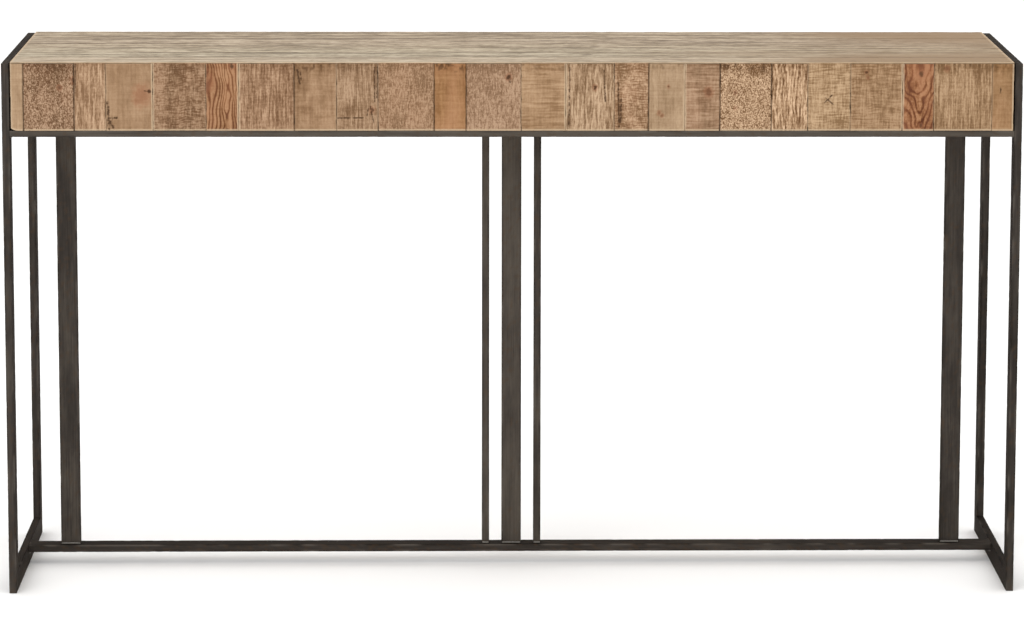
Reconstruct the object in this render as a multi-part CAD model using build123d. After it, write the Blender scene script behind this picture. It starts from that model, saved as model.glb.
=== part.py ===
from build123d import *
import os

# Console table: a thick block of boards held between two welded flat-bar end loops.
# Millimetres. +Z is up, +X runs along the table, the front faces -Y.
# The origin is on the floor, under the middle of the table.

# Overall sizes
LENGTH = 1600.0
DEPTH = 430.0
WOOD_TOP = 850.0
LOOP_TOP = 848.0

# Flat steel bar, used for the whole frame. The rails under the block are a thinner one
BAR_WIDE = 32.0
BAR_THICK = 12.0
RAIL_THICK = 10.0
BAR_ARRIS = 0.8
SLIM_WIDE = 12.0

# Steel frame under the block
RAIL_TOP = 742.0
RAIL_BOTTOM = RAIL_TOP - RAIL_THICK
STRETCHER_TOP = BAR_WIDE
STRETCHER_BOTTOM = STRETCHER_TOP - BAR_THICK
OUTER_UPRIGHT_X = 720.0
SLIM_UPRIGHT_X = 42.0

# Weld beads
BEAD_LEG = 3.5
BEAD_BULGE = 0.62

# Screws that hold the wood block down
SCREW_RADIUS = 2.5
SCREW_LENGTH = 28.0
SCREW_CLEARANCE = 0.1
HEAD_RADIUS = 5.0
HEAD_HEIGHT = 3.0
BEARER_SCREW_Y = (-150.0, -60.0, 60.0, 150.0)
MID_RAIL_SCREW_X = (-610.0, -380.0, -150.0, 150.0, 380.0, 610.0)

# Wood block
END_GAP = 2.0
BOARD_THICK = 18.0
LEFT_END_THICK = 20.0
BASE_THICK = 20.0
CORE_THICK = 25.0
RIB_THICK = 22.0
RIB_X = (-400.0, 0.0, 400.0)
ARRIS = 1.2
SEAM_CHAMFER = 0.7
PLANK_CHAMFER = 0.5

# Widths of the upright face boards, from the left end board to the right end
FRONT_BOARD_WIDTHS = (
    79, 50, 73, 83, 51, 87, 66, 65, 88, 50, 86, 70,
    76, 54, 57, 55, 81, 57, 67, 82, 49, 92, 34,
)
# The face boards were not planed to one thickness: each sits back a little
FRONT_BOARD_SETBACKS = (0.0, 0.6, 0.2, 0.9, 0.4)
# Widths of the long top planks, from the front edge to the back edge
TOP_PLANK_WIDTHS = (68, 67, 60, 60, 78, 97)

# Positions that follow from the sizes above
LOOP_OUTER_X = LENGTH / 2
LOOP_INNER_X = LOOP_OUTER_X - BAR_THICK
WOOD_END_X = LOOP_INNER_X - END_GAP
FRONT_Y = -DEPTH / 2
BACK_Y = DEPTH / 2
INSIDE_FRONT_Y = FRONT_Y + BOARD_THICK
INSIDE_BACK_Y = BACK_Y - BOARD_THICK
INSIDE_LEFT_X = -WOOD_END_X + LEFT_END_THICK
INSIDE_RIGHT_X = WOOD_END_X - BOARD_THICK
PLANK_UNDERSIDE = WOOD_TOP - BOARD_THICK
BASE_TOP = RAIL_TOP + BASE_THICK


def block(x0, x1, y0, y1, z0, z1):
    """A plain block between two corners."""
    size = Box(x1 - x0, y1 - y0, z1 - z0)
    return Pos((x0 + x1) / 2, (y0 + y1) / 2, (z0 + z1) / 2) * size


def along_x(points, x0, x1):
    """A closed outline in the Y-Z plane, extruded from x0 to x1."""
    outline = Polyline(*points, close=True)
    face = make_face(Plane.YZ * outline)
    solid = extrude(face, amount=x1 - x0, dir=(1, 0, 0))
    return Pos(x0, 0, 0) * solid


def along_y(points, y0, y1):
    """A closed outline in the X-Z plane, extruded from y0 to y1."""
    outline = Polyline(*[(x, 0, z) for x, z in points], close=True)
    solid = extrude(make_face(outline), amount=y1 - y0, dir=(0, 1, 0))
    return Pos(0, y0, 0) * solid


def bar(x0, x1, y0, y1, z0, z1, axis):
    """A length of rolled flat bar: its long edges are slightly rounded."""
    solid = block(x0, x1, y0, y1, z0, z1)
    return fillet(solid.edges().filter_by(axis), BAR_ARRIS)


def loop_side(side, y0, y1, z0, z1, axis):
    """One bar of an end loop, before its ends are mitred. side is -1 left, +1 right."""
    x0 = min(side * LOOP_INNER_X, side * LOOP_OUTER_X)
    return bar(x0, x0 + BAR_THICK, y0, y1, z0, z1, axis)


def mitred(solid, corners):
    """Cut a loop bar back to its mitred outline in the Y-Z plane."""
    return solid & along_x(corners, -LENGTH, LENGTH)


def front_post(side):
    """Front upright bar of an end loop."""
    inner = FRONT_Y + BAR_WIDE
    corners = [(FRONT_Y, 0), (inner, BAR_WIDE), (inner, LOOP_TOP - BAR_WIDE), (FRONT_Y, LOOP_TOP)]
    return mitred(loop_side(side, FRONT_Y, inner, 0, LOOP_TOP, Axis.Z), corners)


def rear_post(side):
    """Rear upright bar of an end loop."""
    inner = BACK_Y - BAR_WIDE
    corners = [(BACK_Y, 0), (BACK_Y, LOOP_TOP), (inner, LOOP_TOP - BAR_WIDE), (inner, BAR_WIDE)]
    return mitred(loop_side(side, inner, BACK_Y, 0, LOOP_TOP, Axis.Z), corners)


def loop_top_rail(side):
    """Top bar of an end loop, beside the wood block."""
    inner = LOOP_TOP - BAR_WIDE
    corners = [
        (FRONT_Y, LOOP_TOP),
        (FRONT_Y + BAR_WIDE, inner),
        (BACK_Y - BAR_WIDE, inner),
        (BACK_Y, LOOP_TOP),
    ]
    return mitred(loop_side(side, FRONT_Y, BACK_Y, inner, LOOP_TOP, Axis.Y), corners)


def loop_bottom_rail(side):
    """Bottom bar of an end loop, resting on the floor."""
    corners = [
        (FRONT_Y, 0),
        (BACK_Y, 0),
        (BACK_Y - BAR_WIDE, BAR_WIDE),
        (FRONT_Y + BAR_WIDE, BAR_WIDE),
    ]
    return mitred(loop_side(side, FRONT_Y, BACK_Y, 0, BAR_WIDE, Axis.Y), corners)


def long_rail(y0, z0, z1):
    """A flat-lying bar that runs the whole way between the two end loops."""
    return bar(-LOOP_INNER_X, LOOP_INNER_X, y0, y0 + BAR_WIDE, z0, z1, Axis.X)


def screw_places():
    """Centres of the screws, as (x, y)."""
    places = [(side * OUTER_UPRIGHT_X, y) for side in (-1, 1) for y in BEARER_SCREW_Y]
    places += [(x, 0.0) for x in MID_RAIL_SCREW_X]
    return places


def with_screw_holes(solid, places):
    """Drill the screw holes through or into a piece."""
    radius = SCREW_RADIUS + SCREW_CLEARANCE
    depth = SCREW_LENGTH + SCREW_CLEARANCE
    for x, y in places:
        drill = Cylinder(radius, depth, align=(Align.CENTER, Align.CENTER, Align.MIN))
        solid = solid - Pos(x, y, RAIL_BOTTOM) * drill
    return solid


def cross_bearer(side):
    """Flat bar across the frame between the front and rear rails, over an outer upright."""
    x0 = side * OUTER_UPRIGHT_X - BAR_WIDE / 2
    y1 = BACK_Y - BAR_WIDE
    solid = bar(x0, x0 + BAR_WIDE, -y1, y1, RAIL_BOTTOM, RAIL_TOP, Axis.Y)
    return with_screw_holes(solid, [(side * OUTER_UPRIGHT_X, y) for y in BEARER_SCREW_Y])


def mid_rail():
    """Flat bar between the two cross bearers, over the middle uprights."""
    x1 = OUTER_UPRIGHT_X - BAR_WIDE / 2
    solid = bar(-x1, x1, -BAR_WIDE / 2, BAR_WIDE / 2, RAIL_BOTTOM, RAIL_TOP, Axis.X)
    return with_screw_holes(solid, [(x, 0.0) for x in MID_RAIL_SCREW_X])


def upright(x, width):
    """A bar that stands on the lower stretcher and carries the frame under the block."""
    y1 = BAR_THICK / 2
    return bar(x - width / 2, x + width / 2, -y1, y1, STRETCHER_TOP, RAIL_BOTTOM, Axis.Z)


def bead_outline(u, v, du, dv):
    """Cross-section of a full fillet weld in the corner (u, v), reaching du and dv."""
    return [
        (u, v),
        (u + du * BEAD_LEG, v),
        (u + du * BEAD_LEG * BEAD_BULGE, v + dv * BEAD_LEG * BEAD_BULGE),
        (u, v + dv * BEAD_LEG),
    ]


def weld_beads():
    """Fillet welds at both ends of the uprights and at the ends of the long bars."""
    beads = []
    uprights = [(-OUTER_UPRIGHT_X, BAR_WIDE), (0.0, BAR_WIDE), (OUTER_UPRIGHT_X, BAR_WIDE)]
    uprights += [(-SLIM_UPRIGHT_X, SLIM_WIDE), (SLIM_UPRIGHT_X, SLIM_WIDE)]
    for x, width in uprights:
        x0 = x - width / 2 + BAR_ARRIS
        x1 = x + width / 2 - BAR_ARRIS
        for side in (-1, 1):
            y = side * BAR_THICK / 2
            beads.append(along_x(bead_outline(y, STRETCHER_TOP, side, 1), x0, x1))
            beads.append(along_x(bead_outline(y, RAIL_BOTTOM, side, -1), x0, x1))
    half = BAR_WIDE / 2 - BAR_ARRIS
    rail_centre = BACK_Y - BAR_WIDE / 2
    for side in (-1, 1):
        x = side * LOOP_INNER_X
        under_stretcher = bead_outline(x, STRETCHER_BOTTOM, -side, -1)
        under_rail = bead_outline(x, RAIL_BOTTOM, -side, -1)
        beads.append(along_y(under_stretcher, -half, half))
        beads.append(along_y(under_rail, -rail_centre - half / 2, -rail_centre + half))
        beads.append(along_y(under_rail, rail_centre - half, rail_centre + half / 2))
    return Compound(children=beads)


def mounting_screw(x, y):
    """A round-headed screw, driven up through the frame into the base board."""
    shank = Cylinder(SCREW_RADIUS, SCREW_LENGTH, align=(Align.CENTER, Align.CENTER, Align.MIN))
    head = Cylinder(HEAD_RADIUS, HEAD_HEIGHT, align=(Align.CENTER, Align.CENTER, Align.MAX))
    head = fillet(head.edges().filter_by(GeomType.CIRCLE).group_by(Axis.Z)[0], HEAD_HEIGHT * 0.6)
    return Pos(x, y, RAIL_BOTTOM) * (shank + head)


def mounting_screws():
    """All the screws that hold the block to the frame."""
    return Compound(children=[mounting_screw(x, y) for x, y in screw_places()])


def front_board(x0, width, setback):
    """An upright face board. Its top is mitred to meet the front top plank."""
    face = FRONT_Y + setback
    outline = [
        (face, RAIL_TOP),
        (INSIDE_FRONT_Y, RAIL_TOP),
        (INSIDE_FRONT_Y, PLANK_UNDERSIDE),
        (FRONT_Y + ARRIS, WOOD_TOP - ARRIS),
        (face, WOOD_TOP - 2 * ARRIS + setback),
    ]
    board = along_x(outline, x0, x0 + width)
    return chamfer(board.edges().filter_by(Axis.Z).group_by(Axis.Y)[0], SEAM_CHAMFER)


def left_end_board():
    """The board that closes the left end. Its front edge shows beside the face boards."""
    outline = [
        (FRONT_Y, RAIL_TOP),
        (BACK_Y, RAIL_TOP),
        (BACK_Y, PLANK_UNDERSIDE),
        (INSIDE_FRONT_Y, PLANK_UNDERSIDE),
        (FRONT_Y + ARRIS, WOOD_TOP - ARRIS),
        (FRONT_Y, WOOD_TOP - 2 * ARRIS),
    ]
    board = along_x(outline, -WOOD_END_X, INSIDE_LEFT_X)
    return chamfer(board.edges().filter_by(Axis.Z).group_by(Axis.Y)[0], SEAM_CHAMFER)


def right_end_board():
    """The board that closes the right end, behind the last face board."""
    board = block(INSIDE_RIGHT_X, WOOD_END_X, INSIDE_FRONT_Y, BACK_Y, RAIL_TOP, PLANK_UNDERSIDE)
    return chamfer(board.edges().filter_by(Axis.Z).group_by(Axis.Y)[-1], SEAM_CHAMFER)


def rear_board():
    """The long board that closes the back, between the end boards."""
    return block(INSIDE_LEFT_X, INSIDE_RIGHT_X, INSIDE_BACK_Y, BACK_Y, RAIL_TOP, PLANK_UNDERSIDE)


def front_plank(width):
    """The front top plank. Its front edge is mitred down onto the face boards."""
    back = FRONT_Y + width
    outline = [
        (FRONT_Y + ARRIS, WOOD_TOP - ARRIS),
        (INSIDE_FRONT_Y, PLANK_UNDERSIDE),
        (back, PLANK_UNDERSIDE),
        (back, WOOD_TOP),
        (FRONT_Y + 2 * ARRIS, WOOD_TOP),
    ]
    plank = along_x(outline, -WOOD_END_X, WOOD_END_X)
    return chamfer(plank.edges().filter_by(Axis.X).group_by(Axis.Z)[-1], PLANK_CHAMFER)


def top_plank(y0, width):
    """A long top plank behind the front one."""
    plank = block(-WOOD_END_X, WOOD_END_X, y0, y0 + width, PLANK_UNDERSIDE, WOOD_TOP)
    return chamfer(plank.edges().filter_by(Axis.X).group_by(Axis.Z)[-1], PLANK_CHAMFER)


def base_board():
    """The board that closes the underside and takes the screws."""
    board = block(
        INSIDE_LEFT_X, INSIDE_RIGHT_X, INSIDE_FRONT_Y, INSIDE_BACK_Y, RAIL_TOP, BASE_TOP
    )
    return with_screw_holes(board, screw_places())


def core_rail(side):
    """A long inner rail behind the face boards (side -1) or the rear board (side +1)."""
    y0 = min(side * INSIDE_BACK_Y, side * (INSIDE_BACK_Y - CORE_THICK))
    return block(INSIDE_LEFT_X, INSIDE_RIGHT_X, y0, y0 + CORE_THICK, BASE_TOP, PLANK_UNDERSIDE)


def core_rib(x):
    """An inner rib across the block, under the top planks."""
    y1 = INSIDE_BACK_Y - CORE_THICK
    return block(x - RIB_THICK / 2, x + RIB_THICK / 2, -y1, y1, BASE_TOP, PLANK_UNDERSIDE)


def steel_parts():
    """Every bar of the welded frame, with its welds and screws."""
    parts = {}
    for name, side in (("left", -1), ("right", 1)):
        parts[f"{name}_front_post"] = front_post(side)
        parts[f"{name}_rear_post"] = rear_post(side)
        parts[f"{name}_top_rail"] = loop_top_rail(side)
        parts[f"{name}_bottom_rail"] = loop_bottom_rail(side)
        parts[f"{name}_cross_bearer"] = cross_bearer(side)
        parts[f"{name}_upright"] = upright(side * OUTER_UPRIGHT_X, BAR_WIDE)
        parts[f"{name}_slim_upright"] = upright(side * SLIM_UPRIGHT_X, SLIM_WIDE)
    parts["centre_upright"] = upright(0.0, BAR_WIDE)
    parts["front_rail"] = long_rail(FRONT_Y, RAIL_BOTTOM, RAIL_TOP)
    parts["rear_rail"] = long_rail(BACK_Y - BAR_WIDE, RAIL_BOTTOM, RAIL_TOP)
    parts["mid_rail"] = mid_rail()
    parts["lower_stretcher"] = long_rail(-BAR_WIDE / 2, STRETCHER_BOTTOM, STRETCHER_TOP)
    parts["weld_beads"] = weld_beads()
    parts["mounting_screws"] = mounting_screws()
    return parts


def wood_parts():
    """Every board of the block."""
    parts = {}
    x = INSIDE_LEFT_X
    for index, width in enumerate(FRONT_BOARD_WIDTHS):
        setback = FRONT_BOARD_SETBACKS[index % len(FRONT_BOARD_SETBACKS)]
        parts[f"front_board_{index + 1:02d}"] = front_board(x, width, setback)
        x += width
    parts["top_plank_1"] = front_plank(TOP_PLANK_WIDTHS[0])
    y = FRONT_Y + TOP_PLANK_WIDTHS[0]
    for index, width in enumerate(TOP_PLANK_WIDTHS[1:]):
        parts[f"top_plank_{index + 2}"] = top_plank(y, width)
        y += width
    parts["left_end_board"] = left_end_board()
    parts["right_end_board"] = right_end_board()
    parts["rear_board"] = rear_board()
    parts["base_board"] = base_board()
    parts["core_front_rail"] = core_rail(-1)
    parts["core_rear_rail"] = core_rail(1)
    for name, rib_x in zip(("left", "centre", "right"), RIB_X):
        parts[f"core_{name}_rib"] = core_rib(rib_x)
    return parts


os.makedirs("parts", exist_ok=True)
for node, shape in {**steel_parts(), **wood_parts()}.items():
    export_step(shape, f"parts/{node}.step")
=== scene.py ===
import math

import bpy
import numpy as np
from bpy.props import FloatProperty, FloatVectorProperty, PointerProperty
from bpy.types import Operator, Panel, PropertyGroup
from mathutils import Matrix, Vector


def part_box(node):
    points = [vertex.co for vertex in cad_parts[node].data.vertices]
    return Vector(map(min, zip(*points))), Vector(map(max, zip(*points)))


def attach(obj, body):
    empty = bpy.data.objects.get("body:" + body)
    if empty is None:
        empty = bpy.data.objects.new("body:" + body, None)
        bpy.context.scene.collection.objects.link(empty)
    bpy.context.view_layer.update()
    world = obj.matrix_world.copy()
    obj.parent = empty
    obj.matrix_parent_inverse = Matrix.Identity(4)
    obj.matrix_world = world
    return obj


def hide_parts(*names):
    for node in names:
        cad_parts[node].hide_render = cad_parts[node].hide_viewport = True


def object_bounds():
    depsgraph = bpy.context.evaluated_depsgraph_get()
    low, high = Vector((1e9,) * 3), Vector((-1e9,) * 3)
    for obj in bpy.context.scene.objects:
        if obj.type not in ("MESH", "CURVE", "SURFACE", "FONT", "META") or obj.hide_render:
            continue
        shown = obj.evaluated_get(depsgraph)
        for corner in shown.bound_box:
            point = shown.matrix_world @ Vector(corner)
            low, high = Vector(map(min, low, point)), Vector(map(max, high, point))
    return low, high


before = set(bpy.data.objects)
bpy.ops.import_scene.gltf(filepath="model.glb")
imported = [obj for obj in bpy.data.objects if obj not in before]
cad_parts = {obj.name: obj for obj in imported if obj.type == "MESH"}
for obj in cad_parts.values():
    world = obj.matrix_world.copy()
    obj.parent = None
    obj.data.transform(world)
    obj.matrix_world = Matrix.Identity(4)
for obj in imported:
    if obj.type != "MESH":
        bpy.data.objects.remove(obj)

bl_info = {
    "name": "Console table",
    "version": (1, 0, 0),
    "blender": (4, 5, 0),
    "location": "3D View > Sidebar > Console table",
    "description": "Boards, steel bars and welds of a console table, built around its frame",
    "category": "Object",
}

MM = 0.001
BODY = "root"
# Each piece has its own seed. Neighbours' are apart, as a relief uses a few seeds past its own
SEED_STEP = 60
AXIS_X, AXIS_Y, AXIS_Z = 0, 1, 2
CAD_BOX = [list(corner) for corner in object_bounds()]

# Places taken from the frame
FRONT = CAD_BOX[0][1]
BACK = CAD_BOX[1][1]
WOOD_TOP = CAD_BOX[1][2]
LOOP_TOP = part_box("left_top_rail")[1][2]
RAIL_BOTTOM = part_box("front_rail")[0][2]
STRETCHER_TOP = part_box("lower_stretcher")[1][2]
STRETCHER_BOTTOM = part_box("lower_stretcher")[0][2]
PLANK_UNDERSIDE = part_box("top_plank_2")[0][2]
BOARD_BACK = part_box("front_board_01")[1][1]
LOOP_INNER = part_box("front_rail")[1][0]

# Size of the worn corner where the top planks meet the face boards
ARRIS = 1.2 * MM

# The weld beads' leg, half the length of those at the stretcher's ends, and how far those at the
# long rails' ends start from the table's front and back
WELD_LEG = 3.4 * MM
STRETCHER_WELD_HALF = 15 * MM
RAIL_WELD_INSET = 8 * MM

# The screws' head and shank, and their socket from its middle to a flat. Their places are the
# distances from the table's middle, along a cross bearer and along the middle rail
SCREW_HEAD_RADIUS = 5 * MM
SCREW_SHANK_RADIUS = 2.5 * MM
SCREW_SOCKET_RADIUS = 1.5 * MM
BEARER_SCREW_Y = (0.15, 0.06, -0.06, -0.15)
RAIL_SCREW_X = (0.15, 0.38, 0.61)

# How much paler (or darker, below 0) than the usual patina the bars are
LOOP_SHADES = {"left": 0.08, "right": -0.08}
RAIL_SHADES = {"front_rail": 0.42, "rear_rail": 0.0, "mid_rail": 0.0, "lower_stretcher": -0.04}
UPRIGHT_SHADES = {"left_upright": 0.13, "centre_upright": 0.32, "right_upright": 0.08,
                  "left_slim_upright": 0.32, "right_slim_upright": 0.18}


# ---------------------------------------------------------------- woods and boards

# How each kind of surface is worked. Lengths are in millimetres.
#   fibre   size across and along the grain, and strength, of the fine streaks along it
#   cross   size across and along the grain, and strength, of the fine lines across it
#   grit    size and strength of the specks
#   cloud   strength of the broad soft patches
#   rib     spacing and depth of the ridges left by the harder grain
#   saw     spacing and depth of the marks of the saw
#   pit     size and depth of the torn-out specks
#   rings   spacing, slope, strength and wandering of the growth rings
#   drift   how far the grain wanders sideways
# Faint rings show in the relief only
FAINT_RINGS = (9, 0.1, 0, 1.0)
SURFACES = {
    "smooth": dict(fibre=(3.0, 60, 0.35), cross=(40, 3.5, 0.30), grit=(3, 0.25), cloud=0.8,
                   rib=(6, 0.03), saw=(6, 0.02), pit=(3, 0), rings=(11, 0.1, 0.15, 1.0), drift=4),
    "banded": dict(fibre=(3.0, 50, 0.25), cross=(45, 3.2, 0.75), grit=(3, 0.25), cloud=0.7,
                   rib=(6, 0.03), saw=(7, 0.08), pit=(3, 0), rings=(12, 0.1, 0.10, 1.0), drift=4),
    "rough": dict(fibre=(1.7, 4, 0.80), cross=(5, 1.6, 0.60), grit=(1.4, 1.25), cloud=0.5,
                  rib=(4, 0.16), saw=(5, 0.08), pit=(2.0, 0.45), rings=FAINT_RINGS, drift=8),
    "sawn": dict(fibre=(2.4, 16, 0.55), cross=(12, 2.4, 0.75), grit=(2.4, 0.50), cloud=0.9,
                 rib=(4.4, 0.10), saw=(4.0, 0.25), pit=(2.4, 0.20), rings=FAINT_RINGS, drift=6),
    "corrugated": dict(fibre=(2.8, 22, 1.00), cross=(16, 3.0, 0.20), grit=(2.6, 0.35), cloud=0.5,
                       rib=(4.8, 0.42), saw=(5, 0.02), pit=(2.4, 0.10), rings=FAINT_RINGS,
                       drift=7),
    "ribbed": dict(fibre=(2.6, 18, 1.00), cross=(16, 3.0, 0.20), grit=(2.4, 0.40), cloud=0.3,
                   rib=(5.0, 0.70), saw=(5, 0.02), pit=(2.2, 0.10), rings=FAINT_RINGS, drift=9),
    "fine": dict(fibre=(2.5, 34, 1.00), cross=(20, 2.6, 0.25), grit=(2.4, 0.40), cloud=0.6,
                 rib=(3.6, 0.22), saw=(6, 0.05), pit=(2.4, 0.10), rings=FAINT_RINGS, drift=4),
    "fuzzy": dict(fibre=(2.2, 9, 0.95), cross=(12, 2.4, 0.40), grit=(1.8, 0.70), cloud=0.6,
                  rib=(4, 0.20), saw=(6, 0.05), pit=(2.4, 0.15), rings=FAINT_RINGS, drift=8),
    "figured": dict(fibre=(2.6, 40, 0.40), cross=(20, 3.0, 0.15), grit=(2.6, 0.25), cloud=0.8,
                    rib=(5, 0.03), saw=(6, 0), pit=(3, 0), rings=(5.4, 0.03, 1.6, 2.6), drift=13),
    "flamed": dict(fibre=(2.6, 30, 0.50), cross=(20, 3.0, 0.15), grit=(2.4, 0.45), cloud=0.8,
                   rib=(5, 0.05), saw=(6, 0), pit=(3, 0.05), rings=(13.0, -0.40, 1.2, 2.2),
                   drift=22),
    "hatched": dict(fibre=(2.6, 20, 0.75), cross=(20, 2.6, 0.75), grit=(2.4, 0.30), cloud=0.6,
                    rib=(4.2, 0.14), saw=(4.4, 0.16), pit=(2.4, 0.05), rings=FAINT_RINGS,
                    drift=3),
    "weathered": dict(fibre=(5.2, 260, 1.15), cross=(8, 22, 0.15), grit=(6, 0.35), cloud=0.8,
                      rib=(11, 0.22), saw=(9, 0), pit=(5, 0.05), rings=(26, 0.02, 0.35, 1.0),
                      drift=22),
    "inner": dict(fibre=(5.0, 120, 0.50), cross=(20, 5, 0.20), grit=(4, 0.20), cloud=0.5,
                  rib=(9, 0.05), saw=(9, 0.03), pit=(3, 0), rings=(15, 0.02, 0.6, 1.0), drift=14),
}


def board(surface, colour, spread, seam="tight", top=0.35, red=0.0, knots=(), cracks=(),
          smudges=(), heart=0.5):
    """One face board. colour is its usual colour and spread how far that varies, from 0 to 255.
    seam is the joint at its right, one of SEAMS. top is how dark its upper end is, and
    red how much of it is heartwood. heart is where its growth rings meet, as a share of its
    width. Places are in mm from its left edge and its bottom:
    knots (across, up, radius, darkness), cracks (across, up, across, up, width), and smudges
    (across, up, half width, half height, darkness)."""
    return dict(surface=surface, colour=colour, spread=spread, seam=seam, top=top, red=red,
                knots=knots, cracks=cracks, smudges=smudges, heart=heart)


# The strip at the left is the front edge of the left end board
LEFT_STRIP = board("smooth", (183, 151, 120), 8, "dark", 0.25, smudges=((12, 62, 6, 18, 0.3),))

FACE_BOARDS = (
    board("rough", (157, 124, 96), 17, "dark", 0.8, 0.1,
          knots=((80, 80, 3.5, 0.9), (57, 68, 2.6, 0.7)),
          smudges=((40, 84, 22, 12, 0.5), (22, 70, 9, 9, 0.4), (60, 52, 12, 10, 0.3))),
    board("corrugated", (182, 146, 115), 14, "tight", 0.40,
          cracks=((2, 60, 3, 104, 0.9),), smudges=((9, 90, 7, 16, 0.3),)),
    board("smooth", (172, 137, 105), 8, "cream", 0.0, 0.0,
          knots=((56, 56, 9, 0.10), (67.5, 62, 2.3, 1.0), (50, 48, 4, 0.12)),
          cracks=((3, 44, 4.5, 3, 2.2), (4, 20, 18, 20, 1.6), (5, 15, 11, 6, 2.2),
                  (60, 63, 70, 61, 0.8)),
          smudges=((52, 50, 15, 10, 0.25), (8, 12, 9, 12, 0.3))),
    board("sawn", (154, 121, 92), 14, "tight", 0.40, 0.12,
          smudges=((58, 84, 22, 20, 0.40), (30, 40, 13, 20, 0.50), (64, 44, 14, 12, 0.25))),
    board("figured", (149, 105, 67), 19, "cream", 0.10, 0.30,
          knots=((-1, 76, 9, 0.25), (41, 102, 3.4, 0.9)),
          smudges=((28, 90, 12, 14, -0.6), (4, 70, 8, 40, 0.35), (46, 20, 6, 30, 0.25)), heart=0.6),
    board("fine", (167, 130, 100), 15, "dark", 0.50, 0.0,
          smudges=((52, 54, 20, 16, 0.2), (72, 30, 12, 24, 0.25))),
    board("smooth", (165, 130, 98), 12, "tight", 0.90, 0.05,
          cracks=((5, 96, 9, 74, 1.3), (10, 92, 11, 80, 0.9)),
          smudges=((19, 34, 13, 8, 0.75), (16, 72, 12, 14, 0.3))),
    board("fine", (165, 131, 101), 13, "tight", 0.65, 0.0,
          knots=((56, 33, 3.0, 0.8),),
          cracks=((2, 20, 42, 20.5, 1.0), (53, 38, 58, 14, 1.2), (50, 36, 48, 24, 0.9),
                  (60, 100, 60, 46, 0.9), (64, 100, 63, 52, 0.8)),
          smudges=((24, 34, 20, 9, 0.6), (55, 26, 9, 14, 0.45), (22, 66, 24, 22, -0.35))),
    board("fuzzy", (167, 132, 102), 12, "dark", 0.40, 0.1,
          smudges=((78, 46, 6, 24, -0.4), (28, 20, 22, 5, 0.3))),
    board("smooth", (178, 133, 91), 10, "dark", 1.0, 0.25,
          smudges=((24, 70, 14, 22, 0.15), (46, 60, 4, 48, 0.4))),
    board("fuzzy", (171, 136, 108), 11, "tight", 0.60, 0.0,
          knots=((66.5, 85, 3.2, 1.0),),
          cracks=((67, 86, 69, 76, 1.5),),
          smudges=((50, 94, 26, 9, 0.3), (10, 20, 8, 10, 0.3))),
    board("banded", (180, 144, 110), 10, "cream", 0.65),
    board("corrugated", (178, 145, 114), 16, "tight", 0.45, 0.0,
          knots=((46, 68, 2.6, 1.0),),
          cracks=((5, 4, 6, 100, 1.0), (60, 96, 62, 46, 1.0)),
          smudges=((64, 80, 8, 22, 0.35),)),
    board("sawn", (182, 147, 115), 16, "dark", 0.40, 0.20,
          cracks=((6, 76, 8, 6, 1.3), (11, 50, 10, 12, 1.2)),
          smudges=((8, 34, 9, 34, 0.55), (40, 56, 20, 9, 0.15))),
    board("smooth", (178, 147, 116), 10, "cream", 0.60, 0.0,
          knots=((31, 70, 1.6, 0.7), (17, 28, 2.2, 0.35), (21, 24, 1.8, 0.4)),
          smudges=((18, 27, 8, 8, 0.55), (46, 40, 7, 40, 0.2))),
    board("banded", (169, 136, 107), 14, "dark", 0.35, 0.15,
          knots=((37, 61, 4.5, 0.55),),
          smudges=((34, 58, 13, 12, 0.50), (24, 48, 10, 8, 0.3))),
    board("rough", (184, 148, 115), 21, "dark", 0.95, 0.0,
          knots=((24, 60, 1.8, 0.7), (24, 36, 1.6, 0.6)),
          smudges=((64, 92, 16, 10, 0.7), (10, 20, 10, 18, 0.35), (4, 100, 12, 6, 0.5))),
    board("ribbed", (183, 146, 112), 23, "tight", 0.30),
    board("hatched", (182, 148, 113), 12, "tight", 0.30, 0.0,
          cracks=((26, 44, 38, 56, 1.0), (28, 52, 40, 42, 0.9)),),
    board("hatched", (169, 134, 100), 11, "cream", 0.30, 0.05,
          knots=((25, 92, 2.0, 0.9), (27, 84, 1.6, 0.5)),
          smudges=((24, 86, 12, 16, 0.35), (48, 56, 16, 22, -0.15), (10, 30, 10, 26, 0.25))),
    board("flamed", (150, 99, 60), 20, "tight", 0.20, 0.50,
          knots=((28, 90, 3.6, 0.8), (29, 8, 2.4, 0.7)),
          smudges=((12, 70, 9, 24, 0.5), (38, 84, 5, 26, -0.6), (30, 52, 5, 22, -0.6),
                   (24, 18, 5, 18, -0.5)), heart=0.42),
    board("fine", (169, 134, 100), 13, "tight", 0.75, 0.0,
          knots=((20, 98, 3, 0.5),),
          smudges=((72, 68, 5, 20, 0.35), (20, 96, 14, 9, 0.35))),
    board("smooth", (169, 132, 93), 11, "open", 0.85, 0.20,
          cracks=((13, 70, 13, 60, 1.0),), smudges=((16, 40, 14, 14, 0.2),)),
)

# The top planks from the front edge to the back: colour, spread, and knots given as
# (mm from the left end, mm from the plank's front edge, radius in mm, darkness)
TOP_PLANKS = (
    ((188, 169, 146), 13, ((150, 30, 6, 0.4), (1010, 42, 5, 0.5), (1320, 20, 6, 0.3))),
    ((176, 160, 137), 17, ((420, 30, 7, 0.5), (905, 38, 8, 0.6), (1180, 22, 5, 0.5))),
    ((179, 162, 138), 17, ((700, 28, 6, 0.4), (1260, 36, 7, 0.3))),
    ((175, 156, 132), 17, ((560, 30, 6, 0.4), (920, 20, 5, 0.5))),
    ((173, 153, 130), 17, ((240, 40, 6, 0.4), (1080, 30, 6, 0.4), (1400, 50, 6, 0.3))),
    ((168, 148, 124), 17, ((330, 60, 6, 0.4), (880, 30, 7, 0.3))),
)

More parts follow.
